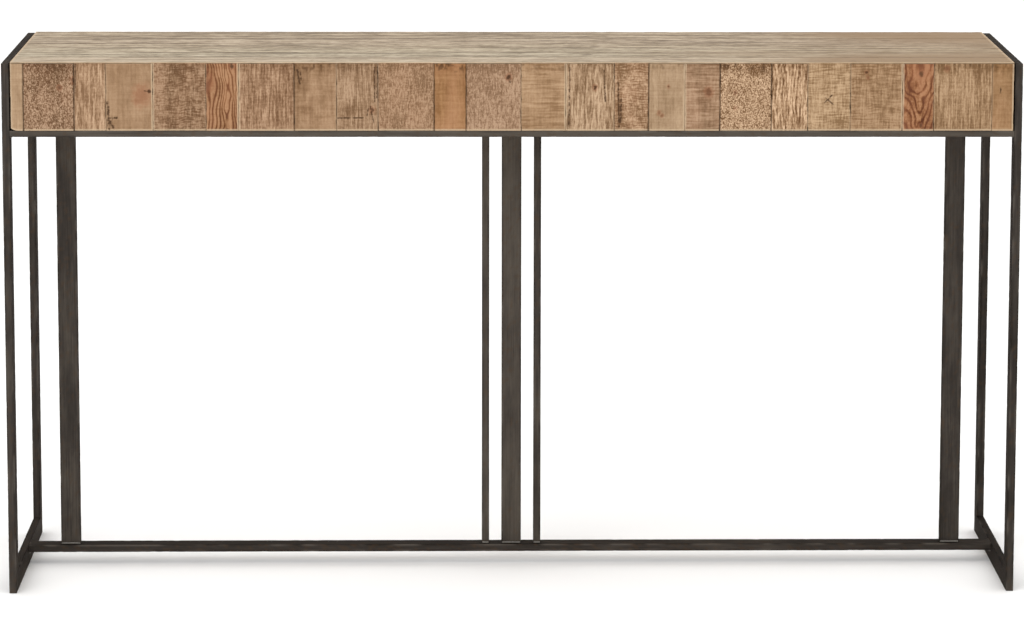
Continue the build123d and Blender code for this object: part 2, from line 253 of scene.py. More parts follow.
# Seam at a face board's side: radius of the rounded corner in mm, how pale its corner is painted
# (wear and a painted highlight), and how dark the seam is painted (dirt and painted shade). An open
# one has no board beside it
SEAMS = {"dark": (1.0, 0.0, 0.55), "cream": (1.1, 1.0, 0.0), "tight": (0.5, 0.25, 0.20),
         "open": (1.1, 1.8, 0.0)}

# The room is lit a little past white; colours are toned down by these shares of red, green and
# blue to come out as listed
TONED = np.array((0.672, 0.672, 0.645))


# ---------------------------------------------------------------- settings

class WoodSettings(PropertyGroup):
    """Sizes and colours of the boards."""

    relief: FloatProperty(
        name="Relief", description="How deep the grain and saw marks are, as a share",
        default=1.0, min=0.0, max=2.0, subtype="FACTOR")
    end_round: FloatProperty(
        name="End rounding", description="Radius of the worn corners at a board's ends",
        default=0.35 * MM, min=0.0, max=2 * MM, unit="LENGTH", precision=5)
    face_grid: FloatProperty(
        name="Face grid", description="Spacing of the points on a board's shown face",
        default=1.0 * MM, min=0.5 * MM, max=5 * MM, unit="LENGTH", precision=5)
    # Besides knots, cracks and dirt, this colour is the painted shade along the seams
    stain_colour: FloatVectorProperty(
        name="Knots and cracks", description="Colour of knots, cracks and dirt",
        default=(0.070, 0.028, 0.007), subtype="COLOR", min=0.0, max=1.0)
    red_colour: FloatVectorProperty(
        name="Heartwood", description="Colour that the redder boards lean to",
        default=(0.40, 0.155, 0.075), subtype="COLOR", min=0.0, max=1.0)
    # Besides the wear, this colour is the painted highlight along the wood's rounded corners
    pale_edge_colour: FloatVectorProperty(
        name="Worn corners", description="Colour of the wood where a corner is rubbed",
        default=(0.68, 0.50, 0.34), subtype="COLOR", min=0.0, max=1.0)
    warm_colour: FloatVectorProperty(
        name="Warm end", description="Colour that the top planks lean to at the right",
        default=(0.34, 0.215, 0.115), subtype="COLOR", min=0.0, max=1.0)


class SteelSettings(PropertyGroup):
    """Sizes and colours of the bars and welds."""

    corner: FloatProperty(
        name="Bar corner", description="Radius of the rolled corners of the flat bar",
        default=0.9 * MM, min=0.1 * MM, max=3 * MM, unit="LENGTH", precision=5)
    waviness: FloatProperty(
        name="Waviness", description="Depth of the low waves in the rolled faces",
        default=0.03 * MM, min=0.0, max=1 * MM, unit="LENGTH", precision=5)
    nicks: FloatProperty(
        name="Nicks", description="Depth of the knocks along the corners",
        default=0.25 * MM, min=0.0, max=2 * MM, unit="LENGTH", precision=5)
    dark_colour: FloatVectorProperty(
        name="Dark patina", description="Darkest colour of the bars",
        default=(0.020, 0.017, 0.014), subtype="COLOR", min=0.0, max=1.0)
    mid_colour: FloatVectorProperty(
        name="Patina", description="Usual colour of the bars",
        default=(0.045, 0.038, 0.033), subtype="COLOR", min=0.0, max=1.0)
    pale_colour: FloatVectorProperty(
        name="Pale patina", description="Palest brown of the bars",
        default=(0.090, 0.076, 0.062), subtype="COLOR", min=0.0, max=1.0)
    pale_edge_colour: FloatVectorProperty(
        name="Worn steel", description="Colour of rubbed corners",
        default=(0.12, 0.105, 0.09), subtype="COLOR", min=0.0, max=1.0)
    weld_colour: FloatVectorProperty(
        name="Weld", description="Colour of the bright weld metal",
        default=(0.17, 0.16, 0.145), subtype="COLOR", min=0.0, max=1.0)
    screw_colour: FloatVectorProperty(
        name="Screws", description="Colour of the plated screws",
        default=(0.45, 0.43, 0.39), subtype="COLOR", min=0.0, max=1.0)


class StageSettings(PropertyGroup):
    """Floor, lights and camera."""

    floor_colour: FloatVectorProperty(
        name="Floor", description="Colour of the floor",
        default=(0.93, 0.93, 0.93), subtype="COLOR", min=0.0, max=1.0)
    sky: FloatProperty(
        name="Room light", description="Strength of the even light all round",
        default=1.22, min=0.0, max=5.0)
    key: FloatProperty(
        name="Key light", description="Power of the large soft light in front", default=55.0,
        min=0.0, max=5000.0, unit="POWER")
    top: FloatProperty(
        name="Top light", description="Power of the large soft light above", default=30.0,
        min=0.0, max=5000.0, unit="POWER")
    camera_place: FloatVectorProperty(
        name="Camera", description="Where the camera stands",
        default=(-0.0868, -6.9225, 1.6504), subtype="TRANSLATION", unit="LENGTH", precision=4)
    camera_turn: FloatProperty(
        name="Turn", description="How far the camera is turned to the right",
        default=0.0239, subtype="ANGLE", unit="ROTATION")
    camera_tilt: FloatProperty(
        name="Tilt", description="How far the camera looks down",
        default=0.1506, subtype="ANGLE", unit="ROTATION")
    camera_roll: FloatProperty(
        name="Roll", description="How far the camera leans",
        default=0.0032, subtype="ANGLE", unit="ROTATION")
    lens: FloatProperty(
        name="Lens", description="Focal length of the camera in millimetres",
        default=151.74, min=10.0, max=400.0)
    frame_shift: FloatVectorProperty(
        name="Frame shift", description="How far the picture is moved on the lens",
        default=(-0.0469, -0.1104), size=2, min=-0.5, max=0.5)


# ---------------------------------------------------------------- noise on whole arrays

def cell_number(ix, iy, iz, seed):
    """A fixed number from 0 to 1 for each cell: the three whole numbers are multiplied by large
    odd numbers and added, and the bits of the sum are stirred."""
    h = (ix * 0x8DA6B343 + iy * 0xD8163841 + iz * 0xCB1AB31F + seed * 0x9E3779B1) & 0xFFFFFFFF
    h = ((h ^ (h >> 15)) * 0x2C1B3C6D) & 0xFFFFFFFF
    h = ((h ^ (h >> 12)) * 0x297A2D39) & 0xFFFFFFFF
    return (h ^ (h >> 15)) / 4294967296.0


def smooth_noise(x, y, z, seed):
    """Noise from 0 to 1: the numbers at a cell's eight corners, blended along each axis with
    the smooth step 3t^2 - 2t^3."""
    x, y, z = np.broadcast_arrays(x, y, z)
    cells = [np.floor(v).astype(np.int64) for v in (x, y, z)]
    parts = [v - c for v, c in zip((x, y, z), cells)]
    parts = [t * t * (3 - 2 * t) for t in parts]
    total = 0.0
    for dx in (0, 1):
        wx = parts[0] if dx else 1 - parts[0]
        for dy in (0, 1):
            wy = parts[1] if dy else 1 - parts[1]
            for dz in (0, 1):
                wz = parts[2] if dz else 1 - parts[2]
                number = cell_number(cells[0] + dx, cells[1] + dy, cells[2] + dz, seed)
                total = total + wx * wy * wz * number
    return total


def layered_noise(x, y, z, seed, layers=3):
    """Noise from 0 to 1 in layers, each twice as fine and half as strong as the one before,
    with the sum spread out so that it uses most of the range."""
    total = 0.0
    weight = 0.0
    for k in range(layers):
        total = total + smooth_noise(x * 2**k, y * 2**k, z * 2**k, seed + 17 * k) / 2**k
        weight += 0.5**k
    return np.clip((total / weight - 0.5) * 1.7 + 0.5, 0.0, 1.0)


def patches(place, sizes, seed, layers=2):
    """Layered noise at a place, given as three arrays of coordinates, with patches of these three
    sizes in mm. It doesn't vary in a direction whose size is endless."""
    return layered_noise(*(p / (size * MM) for p, size in zip(place, sizes)), seed, layers)


def ease(value, low, high):
    """0 below low, 1 above high, and the smooth step 3t^2 - 2t^3 between."""
    t = np.clip((value - low) / (high - low), 0.0, 1.0)
    return t * t * (3 - 2 * t)


# ---------------------------------------------------------------- shapes

# Steps round a rounded corner
ARC_STEPS = 4


def side_axes(axis):
    """The two axes across an axis, in turning order."""
    return (axis + 1) % 3, (axis + 2) % 3


def rectangle(lo, hi, axis):
    """The four corners of a box seen along an axis, anticlockwise."""
    i, j = side_axes(axis)
    return [(lo[i], lo[j]), (hi[i], lo[j]), (hi[i], hi[j]), (lo[i], hi[j])]


def outline_ring(corners, radii, spacings):
    """A closed anticlockwise outline with rounded corners. Each corner is an arc of a circle
    that touches both of its straight runs, and each run is divided evenly. Returns the points,
    their outward directions, and their distance along the run from the nearest corner."""
    corners = np.array(corners, float)
    radii = np.array(radii, float)
    runs = np.roll(corners, -1, 0) - corners
    lengths = np.linalg.norm(runs, axis=1)
    ways = runs / lengths[:, None]
    outs = np.stack([ways[:, 1], -ways[:, 0]], 1)
    before = np.roll(ways, 1, 0)
    cosine = (before * ways).sum(1)
    trims = radii * np.sqrt((1 - cosine) / (1 + cosine))
    points, normals, reach = [], [], []
    for i in range(len(corners)):
        centre = corners[i] - before[i] * trims[i] - outs[i - 1] * radii[i]
        t = np.linspace(0, 1, ARC_STEPS + 1)[:, None]
        normal = outs[i - 1] * (1 - t) + outs[i] * t
        normal /= np.linalg.norm(normal, axis=1)[:, None]
        points.append(centre + normal * radii[i])
        normals.append(normal)
        reach.append(np.zeros(ARC_STEPS + 1))
        trim_next = trims[(i + 1) % len(corners)]
        straight = lengths[i] - trims[i] - trim_next
        steps = max(1, int(round(straight / spacings[i])))
        along = np.linspace(0, straight, steps + 1)[1:-1]
        points.append(corners[i] + ways[i] * (trims[i] + along)[:, None])
        normals.append(np.repeat(outs[i][None], len(along), 0))
        reach.append(np.minimum(along, straight - along))
    return np.concatenate(points), np.concatenate(normals), np.concatenate(reach)


def stations(length, spacing):
    """Places from 0 to 1 along a length: evenly spaced, with a few closer ones in the last
    millimetre at each end."""
    fine = 1.0 * MM
    close = np.array([0.0, 0.15, 0.4, 0.75]) * fine
    middle = np.linspace(fine, length - fine, max(2, int(round(length / spacing))))
    return np.concatenate([close, middle, length - close[::-1]]) / length


def wall_quads(rows, count):
    """The quads between neighbouring rows of points, each row a closed outline of count points."""
    p = np.arange(count)
    q = (p + 1) % count
    s = (np.arange(rows - 1) * count)[:, None]
    return np.stack([s + p, s + q, s + count + q, s + count + p], -1).reshape(-1, 4)


def end_caps(rows, count):
    """The two end faces: the first row turned round, and the last row."""
    p = np.arange(count)
    return [p[::-1].tolist(), (p + (rows - 1) * count).tolist()]


def carry(ring, steps, axis, start, end, relief, end_round):
    """Carries a closed outline along an axis. A point of the outline runs from start(a, b) to
    end(a, b), so an end can be mitred. It is moved along its outward direction by the relief,
    and inwards near both ends by r - sqrt(r^2 - (r - distance)^2), a quarter circle.
    Returns the points, the quads and two end faces, and the four numbers of each point."""
    points, normals, reach = ring
    a, b = points.T
    first, last = np.broadcast_to(start(a, b), a.shape), np.broadcast_to(end(a, b), a.shape)
    c = first + steps[:, None] * (last - first)
    ends = np.minimum(c - first, last - c)
    left = np.clip(end_round - ends, 0, end_round)
    inset = end_round - np.sqrt(np.maximum(end_round**2 - left**2, 0))
    grid_a = np.broadcast_to(a, c.shape)
    grid_b = np.broadcast_to(b, c.shape)
    height, numbers = relief(grid_a, c, grid_b, np.broadcast_to(reach, c.shape), ends)
    move = height - inset
    i, j = side_axes(axis)
    place = np.empty(c.shape + (3,))
    place[..., axis] = c
    place[..., i] = grid_a + normals[:, 0] * move
    place[..., j] = grid_b + normals[:, 1] * move
    return (place.reshape(-1, 3), wall_quads(*c.shape), end_caps(*c.shape),
            numbers.reshape(-1, 4))


def joined(shells):
    """Several closed shells as one mesh: each one's faces are renumbered past the last."""
    places, quads, caps, numbers = [], [], [], []
    offset = 0
    for place, quad, cap, number in shells:
        places.append(place)
        quads.append(quad + offset)
        caps += [[k + offset for k in face] for face in cap]
        numbers.append(number)
        offset += len(place)
    return np.concatenate(places), np.concatenate(quads), caps, np.concatenate(numbers)


def add_piece(name, shell, material, slot, *nodes):
    """Makes the mesh object of a shell, which stands for the CAD nodes it is named for.
    The four numbers of each point are kept as the attribute "grain"."""
    place, quads, caps, numbers = shell
    mesh = bpy.data.meshes.new(name)
    mesh.from_pydata(place.tolist(), [], quads.tolist() + caps)
    smooth = np.ones(len(quads) + len(caps), bool)
    smooth[len(quads):] = False
    mesh.polygons.foreach_set("use_smooth", smooth)
    grain = mesh.attributes.new("grain", "FLOAT_COLOR", "POINT")
    grain.data.foreach_set("color", numbers.astype(np.float32).ravel())
    mesh.materials.append(material)
    mesh.update()
    piece = bpy.data.objects.new(name, mesh)
    bpy.context.scene.collection.objects.link(piece)
    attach(piece, BODY)
    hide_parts(*nodes)
    return piece


# ---------------------------------------------------------------- wood

# How pale and how dark the two sides of a board are painted, if it isn't in the face or the top:
# the pale is wear and a painted highlight, the dark is dirt and painted shade
USUAL_SIDES = ((0.2, 0.2), (0.2, 0.2))


def near_segment(across, along, a0, s0, a1, s1):
    """Distance from each place to a straight piece of a line."""
    da, ds = a1 - a0, s1 - s0
    t = np.clip(((across - a0) * da + (along - s0) * ds) / (da * da + ds * ds), 0, 1)
    return np.hypot(across - a0 - t * da, along - s0 - t * ds)


def knots_in_grain(across, along, line, ragged, knots):
    """Knots at these places: the grain's line pushed aside by a bell curve, the dark stain, and
    the halo round it. Both fade with the distance in knot radii, made ragged by noise."""
    stain = np.zeros_like(line)
    halo = np.zeros_like(line)
    for knot_across, knot_along, radius, dark in knots:
        da = across - knot_across
        dl = along - knot_along
        near = np.exp(-(da**2 + (0.5 * dl) ** 2) / (2 * (1.8 * radius) ** 2))
        line = line - da * 0.85 * near
        far = np.hypot(da, 0.8 * dl) / radius + ragged * 0.8
        stain = np.maximum(stain, dark * (1 - ease(far, 0.55, 1.4)))
        halo = np.maximum(halo, 0.7 * (1 - ease(far, 0.6, 2.4)))
    return line, stain, halo


def wood_relief(surface, seed, centre, half_width, strength, knots=(), cracks=(), smudges=(),
                heart=0.5, bottom=0.0, top_end=None, top_dark=0.0, sides=USUAL_SIDES,
                dirt_and_shade_width=0.9 * MM, lean=None):
    """The relief and colour of a board, as a function of the place across, along and through it.
    Ribs are waves across the grain, saw marks are waves along it, and pits are the peaks of an
    even noise. Growth rings are where the distance from the heart, plus a share of the distance
    along, makes a whole number of ring widths. Cracks are where the distance from a line, made
    ragged by noise, is small. sides gives how pale and how dark each side is painted: the pale
    is wear and a painted highlight, the dark is dirt and painted shade in the seam. A board with
    a top end is dark there, and its pale rim, wear and a painted highlight, is at its bottom only."""
    kind = SURFACES[surface]
    rib_step, rib_depth = kind["rib"]
    saw_step, saw_depth = kind["saw"]
    pit_size, pit_depth = kind["pit"]
    ring_step, ring_slope, ring_strength, ring_wander = kind["rings"]
    drift = kind["drift"]
    run = 12 * drift

    def relief(across, along, depth, reach, ends):
        place = (across, along, depth)
        wander = patches(place, (run, 1.6 * run, run), seed) - 0.5
        line = across + wander * drift * MM
        ragged = patches(place, (3, 3, 10), seed + 5) - 0.5
        line, stain, halo = knots_in_grain(across, along, line, ragged, knots)
        shade = np.zeros_like(line)
        for a0, s0, a1, s1, width in cracks:
            far = near_segment(across, along, a0, s0, a1, s1) / (1.5 * width) + ragged * 1.1
            stain = np.maximum(stain, 1 - ease(far, 0.15, 0.95))
        for a0, s0, half_a, half_s, dark in smudges:
            far = np.hypot((across - a0) / half_a, (along - s0) / half_s) + ragged * 0.5
            shade = shade - dark * (1 - ease(far, 0.35, 1.25))
        grain_place = (line, along, depth)
        bend = patches(grain_place, (4 * rib_step, 30, 20), seed + 1)
        fade = patches(grain_place, (1.5 * rib_step, 16, 20), seed + 9)
        rib = 0.5 - 0.5 * np.cos(2 * np.pi * (line / (rib_step * MM) + 1.6 * bend))
        rib = rib * (0.3 + fade)
        wave = along / (saw_step * MM) + 1.8 * patches(place, (30, 50, math.inf), seed + 2)
        broken = ease(patches(place, (12, 10, math.inf), seed + 3), 0.35, 0.75)
        saw = (0.5 + 0.5 * np.sin(2 * np.pi * wave)) * broken
        specks = patches(place, (pit_size, 1.7 * pit_size, pit_size), seed + 4)
        pits = ease(specks, 0.58, 0.85)
        off = np.hypot(line - centre - (heart - 0.5) * 2 * half_width, 1.5 * MM)
        swell = patches(place, (20, 30, 20), seed + 11)
        rings = (off + ring_slope * along) / (ring_step * MM) + ring_wander * swell
        rings = (0.5 + 0.5 * np.cos(2 * np.pi * rings)) ** 3
        tone = 0.5 + shade * 0.45
        tone = tone + 0.45 * min(1.0, 1.6 * rib_depth) * (0.40 - rib)
        tone = tone + 0.40 * min(1.0, 4 * saw_depth) * (0.25 - saw)
        tone = tone + 0.50 * min(1.0, 2 * pit_depth) * (0.12 - pits)
        tone = tone + 0.65 * ring_strength * (0.30 - rings)
        if top_end is not None:
            speckle = patches(place, (4, 5, 10), seed + 7)
            near_top = ease(along, top_end - 0.019, top_end - 0.002)
            tone = tone - 0.40 * top_dark * near_top * (0.4 + speckle)
            stain = np.maximum(stain, 0.75 * top_dark**2 * near_top * ease(speckle, 0.5, 0.85))
        height = -(rib_depth * rib + saw_depth * saw + pit_depth * pits + 0.12 * rings)
        height = (height - 0.25 * ease(stain, 0.4, 1.0)) * MM * strength
        rubbed = patches(place, (6, 12, 6), seed + 8)
        at_left = across < centre
        (left_pale, left_dirt_and_shade), (right_pale, right_dirt_and_shade) = sides
        pale = np.where(at_left, left_pale, right_pale)
        dirt_and_shade = np.where(at_left, left_dirt_and_shade, right_dirt_and_shade)
        # Paler along both sides and the end rims: wear, and a painted highlight on the rounded corners
        pale_edges = pale * (1 - ease(reach, 0.4 * MM, 1.8 * MM)) * (0.45 + rubbed)
        rim = ends if top_end is None else np.where(along < (top_end + bottom) / 2, ends, 1.0)
        pale_edges = np.maximum(pale_edges, (1 - ease(rim, 1.6 * MM, 3.4 * MM)) * (0.9 + 0.4 * rubbed))
        # Darker along the seams: dirt, and painted shade in the gap between boards
        along_seam = dirt_and_shade * (1 - ease(reach, 0.3 * dirt_and_shade_width, dirt_and_shade_width)) * (0.55 + rubbed)
        stain = np.maximum(stain, np.clip(along_seam, 0, 1))
        chipped = 0.5 * MM * (1 - ease(reach, 0, 0.8 * MM)) * ease(rubbed, 0.55, 0.95)
        if lean is not None:
            halo = lean(across, along)
        numbers = np.stack([tone, stain, np.clip(pale_edges, 0, 1), halo], -1)
        return height - chipped, numbers

    return relief


def placed(marks, across, along, pairs=1, shares=0):
    """Marks given in mm from a board's corner, in metres from the origin. Their first numbers
    are places, in pairs, and their last few are shares, which stay as they are."""
    result = []
    for mark in marks:
        lengths = len(mark) - shares
        moved = [value * MM for value in mark[:lengths]]
        for k in range(pairs):
            moved[2 * k] += across
            moved[2 * k + 1] += along
        result.append((*moved, *mark[lengths:]))
    return result


def face_board_shell(x0, x1, face, back, bottom, spec, seed, seam_before, wood, worn_foot=0.0):
    """A face board: a rectangle with rounded front corners, carried up the board. Its top end
    follows the mitre, the lower of (top - depth) and (top - two corners + depth). A worn foot
    lifts the lower end near its left side by a parabola."""
    left, right = SEAMS[seam_before], SEAMS[spec["seam"]]
    corners = [(x0, face), (x1, face), (x1, back), (x0, back)]
    radii = np.array([left[0], right[0], 0.4, 0.4]) * MM
    grid = wood.face_grid
    ring = outline_ring(corners, radii, [grid, 5 * MM, 9 * MM, 5 * MM])
    top_end = WOOD_TOP - 2 * ARRIS
    relief = wood_relief(
        spec["surface"], seed, (x0 + x1) / 2, (x1 - x0) / 2, wood.relief,
        placed(spec["knots"], x0, bottom, shares=1),
        placed(spec["cracks"], x0, bottom, pairs=2),
        placed(spec["smudges"], x0, bottom, shares=1),
        spec["heart"], bottom, top_end, spec["top"], (left[1:], right[1:]))

    def mitre(a, b):
        depth = b - FRONT
        return np.minimum(WOOD_TOP - depth, WOOD_TOP - 2 * ARRIS + depth)

    def foot(a, b):
        return bottom + worn_foot * np.clip(1 - (a - x0) / (2.5 * worn_foot + MM), 0, 1) ** 2

    steps = stations(top_end - bottom, grid)
    return carry(ring, steps, AXIS_Z, foot, mitre, relief, wood.end_round)


def plank_shell(lo, hi, axis, spacings, surface, seed, wood, shown=0, knots=(), lean=None,
                outline=None, sides=USUAL_SIDES, dirt_and_shade_width=0.9 * MM, corner=0.6 * MM):
    """A plank whose grain runs along an axis: a rectangle, or another outline, carried from one
    end to the other. spacings, in mm, are those of the points along the outline's runs. shown
    says which of the outline's two directions is the plank's width."""
    outline = outline or rectangle(lo, hi, axis)
    ring = outline_ring(outline, [corner] * len(outline), [step * MM for step in spacings])
    wide = side_axes(axis)[shown]
    middle = (lo[wide] + hi[wide]) / 2
    half = (hi[wide] - lo[wide]) / 2
    inner = wood_relief(surface, seed, middle, half, wood.relief, knots, sides=sides,
                        dirt_and_shade_width=dirt_and_shade_width, lean=lean)

    def relief(a, c, b, reach, ends):
        across, depth = (a, b) if shown == 0 else (b, a)
        return inner(across, c, depth, reach, ends)

    steps = stations(hi[axis] - lo[axis], 4 * MM)
    return carry(ring, steps, axis, lambda a, b: lo[axis], lambda a, b: hi[axis], relief,
                 wood.end_round)


# ---------------------------------------------------------------- steel

def steel_relief(seed, waviness, nicks, bright=0.0):
    """Rolled flat bar: low waves over the faces, and knocks where a noise along the corners is
    high. Corners are rubbed paler where another noise is high."""

    def relief(a, c, b, reach, ends):
        place = (a, c, b)
        waves = patches(place, (18, 45, 18), seed)
        knocks = patches(place, (20, 9, 20), seed + 1)
        corner = 1 - ease(reach, 0, 1.0 * MM)
        height = -waviness * waves - nicks * corner * ease(knocks, 0.55, 0.95)
        cloud = patches(place, (30, 120, 30), seed + 2, 3)
        fine = patches(place, (6, 14, 6), seed + 3, 3)
        tone = 0.5 + 0.35 * (cloud - 0.5) + 0.12 * (fine - 0.5) + bright
        # Darker within a few mm of each face's edges: painted shade, leaving a paler band down the
        # middle of each face as a painted sheen
        tone = tone - 0.25 * (1 - ease(reach, 0.5 * MM, 3.5 * MM))
        rubbed = patches(place, (30, 35, 30), seed + 4)
        pale_edges = (1 - ease(reach, 0, 1.2 * MM)) * ease(rubbed, 0.45, 0.9)
        pale_edges = np.maximum(pale_edges, 0.5 * (1 - ease(ends, 0.3 * MM, 2 * MM)) * rubbed)
        spots = ease(patches(place, (4, 5, 4), seed + 5), 0.72, 0.9)
        numbers = np.stack([tone, 0.7 * spots, pale_edges, np.zeros_like(tone)], -1)
        return height, numbers

    return relief


def bar_shell(node, axis, seed, steel, start=None, end=None, bright=0.0):
    """A length of flat bar: its rounded section carried along it, with mitred ends if start and
    end say so."""
    lo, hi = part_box(node)
    ring = outline_ring(rectangle(lo, hi, axis), [steel.corner] * 4, [3 * MM] * 4)
    start = start or (lambda a, b: lo[axis])
    end = end or (lambda a, b: hi[axis])
    steps = stations(hi[axis] - lo[axis], 5 * MM)
    relief = steel_relief(seed, steel.waviness, steel.nicks, bright)
    end_round = 0.25 * MM
    return carry(ring, steps, axis, start, end, relief, end_round)


def bead_shell(axis, low, high, corner, ways, leg, seed):
    """A fillet weld: a quarter of a rounded bead in the corner of two bars, carried along it.
    Its leg swells in ripples, one for each pass of the torch, and tapers at both ends."""
    count = max(12, int((high - low) / (0.35 * MM)))
    t = np.linspace(0, 1, count)
    ripple = 0.5 + 0.5 * np.cos(2 * np.pi * t * (high - low) / (1.6 * MM))
    taper = 0.55 + 0.45 * np.sqrt(np.clip(np.minimum(t, 1 - t) * 10, 0, 1))
    size = leg * taper * (0.86 + 0.14 * ripple**2)
    angle = np.linspace(0, np.pi / 2, 7)
    bulge = 0.80 + 0.20 * np.sin(2 * angle)
    section = np.concatenate([[[0.0, 0.0]], np.stack([np.cos(angle), np.sin(angle)], 1)
                              * bulge[:, None]])
    place = np.empty((count, len(section), 3))
    place[..., axis] = (low + t * (high - low))[:, None]
    i, j = side_axes(axis)
    place[..., i] = corner[0] + ways[0] * size[:, None] * section[:, 0]
    place[..., j] = corner[1] + ways[1] * size[:, None] * section[:, 1]
    quads = wall_quads(count, len(section))
    caps = end_caps(count, len(section))
    if ways[0] * ways[1] < 0:
        quads = quads[:, ::-1]
        caps = [face[::-1] for face in caps]
    tone = patches(np.moveaxis(place, -1, 0), (2, 2, 2), seed, 3)
    zero = np.zeros_like(tone)
    numbers = np.stack([0.35 + 0.5 * tone, zero, zero, zero], -1)
    return place.reshape(-1, 3), quads, caps, numbers.reshape(-1, 4)


def screw_shell(x, y, base, head_height, length):
    """A button-head screw, turned round its axis: radius and height are functions of the row.
    The socket's wall is a hexagon, apothem / cos(angle from the nearest flat's middle), and the
    head's dome is height * sqrt(1 - 0.8 (radius / head radius)^2). The first and last rows have
    no radius and become single points, joined to the rows beside them by triangles."""
    around = 36
    angle = np.arange(around) * 2 * np.pi / around
    wall = SCREW_SOCKET_RADIUS / np.cos((angle + np.pi / 6) % (np.pi / 3) - np.pi / 6)
    floor = -0.45 * head_height
    dome = wall + (SCREW_HEAD_RADIUS - wall) * np.linspace(0, 1, 6)[:, None]
    dome_height = -head_height * np.sqrt(1 - 0.8 * (dome / SCREW_HEAD_RADIUS) ** 2)
    profile = [(0, floor), (wall, floor), *zip(dome, dome_height), (SCREW_HEAD_RADIUS, 0),
               (SCREW_SHANK_RADIUS, 0), (SCREW_SHANK_RADIUS, length * 0.8), (0, length)]
    radius = np.array([r + 0 * angle for r, _ in profile])
    height = np.array([z + 0 * angle for _, z in profile])
    place = np.stack([x + radius * np.cos(angle), y + radius * np.sin(angle), base + height], -1)
    inner = place[1:-1].reshape(-1, 3)
    poles = place[[0, -1], [0, -1]]
    rows, count = len(profile) - 2, len(inner)
    i = np.arange(around)
    j = (i + 1) % around
    last = (rows - 1) * around
    fans = [[count, int(b), int(a)] for a, b in zip(i, j)]
    fans += [[count + 1, int(last + a), int(last + b)] for a, b in zip(i, j)]
    numbers = np.tile([0.5, 0.0, 0.0, 0.0], (count + 2, 1))
    return np.concatenate([inner, poles]), wall_quads(rows, around), fans, numbers


# ---------------------------------------------------------------- materials

# Amounts of light: the specks on the bars
RUST_BROWN = (0.075, 0.045, 0.025, 1.0)


def linear(colour):
    """A colour given from 0 to 255 as a screen shows it, as the amounts of light from 0 to 1."""
    c = np.clip(np.array(colour, float) / 255, 0, 1)
    light = np.where(c <= 0.04045, c / 12.92, ((c + 0.055) / 1.055) ** 2.4)
    return (*(TONED * light), 1.0)


def toned(colour):
    """A colour given as amounts of light, toned down for the room's light."""
    return (*(TONED * np.array(colour)), 1.0)


class Recipe:
    """A new material: adds its nodes, sets their inputs and joins them."""

    def __init__(self, name):
        self.material = bpy.data.materials.new(name)
        self.material.use_nodes = True
        self.tree = self.material.node_tree
        self.tree.nodes.clear()
        self.shader = self.add("ShaderNodeBsdfPrincipled")
        output = self.add("ShaderNodeOutputMaterial")
        self.tree.links.new(self.shader.outputs["BSDF"], output.inputs["Surface"])

    def add(self, kind, inputs=None, **settings):
        """A new node of a kind, with its settings and inputs."""
        node = self.tree.nodes.new(kind)
        for key, value in settings.items():
            setattr(node, key, value)
        self.fill(node, inputs or {})
        return node

    def fill(self, node, inputs):
        """Joins each input to another node's output, or gives it a plain value."""
        for key, value in inputs.items():
            socket = node.inputs[key]
            if isinstance(value, bpy.types.NodeSocket):
                self.tree.links.new(value, socket)
            else:
                socket.default_value = value

    def numbers(self):
        """The piece's own four numbers: tone, stain, pale edges and warmth. On wood the stain
        holds the painted shade along seams too, and the pale edges are wear and a painted highlight.
        """
        attribute = self.add("ShaderNodeAttribute", attribute_name="grain")
        split = self.add("ShaderNodeSeparateColor", {0: attribute.outputs["Color"]})
        return split.outputs[0], split.outputs[1], split.outputs[2], attribute.outputs["Alpha"]

    def noise(self, scale, detail=3.0, roughness=0.55):
        """Noise on the object's own coordinates, with its own scale along X, Y and Z."""
        place = self.add("ShaderNodeTexCoord")
        stretch = self.add("ShaderNodeMapping", {"Vector": place.outputs["Object"],
                                                 "Scale": scale})
        noise = self.add("ShaderNodeTexNoise", {"Vector": stretch.outputs["Vector"],
                                                "Scale": 1.0, "Detail": detail,
                                                "Roughness": roughness})
        return noise.outputs["Fac"]

    def reckon(self, a, b, operation="ADD", clamp=False):
        """Two numbers added, or joined by another operation."""
        node = self.add("ShaderNodeMath", {0: a, 1: b}, operation=operation, use_clamp=clamp)
        return node.outputs[0]

    def blend(self, share, a, b):
        """Colour a, with this share of colour b."""
        node = self.add("ShaderNodeMix", data_type="RGBA")
        self.fill(node, {0: share, 6: a, 7: b})
        return node.outputs[2]

    def lay_over(self, base, share, strength, colour):
        """A colour laid over the base, as strongly as each place's share says."""
        return self.blend(self.reckon(share, strength, "MULTIPLY", True), base, colour)

    def ramp(self, share, *colours):
        """Evenly spaced colours, picked by a share."""
        node = self.add("ShaderNodeValToRGB", {0: share})
        elements = node.color_ramp.elements
        elements[0].color = colours[0]
        elements[1].color = colours[-1]
        for k, colour in enumerate(colours[1:-1], 1):
            elements.new(k / (len(colours) - 1)).color = colour
        return node.outputs["Color"]

    def spread(self, value, low, high, start=0.0, stop=1.0):
        """A value between start and stop, spread over low to high."""
        node = self.add("ShaderNodeMapRange", {"Value": value, "From Min": start, "From Max": stop,
                                               "To Min": low, "To Max": high})
        return node.outputs["Result"]

    def contrast(self, value, low, high):
        """Noise keeps near one half; this spreads its middle range over low to high."""
        return self.spread(value, low, high, 0.28, 0.72)

    def bump(self, height, strength, distance):
        """Small unevenness that only the light shows: the depth is a share of the distance."""
        node = self.add("ShaderNodeBump", {"Height": height, "Strength": strength,
                                           "Distance": distance})
        return node.outputs["Normal"]


def grain_scale(axis, across, along):
    """Noise scale for fibres this wide and this long, in mm, whose length runs along an axis."""
    scale = [1 / (across * MM)] * 3
    scale[axis] = 1 / (along * MM)
    return scale


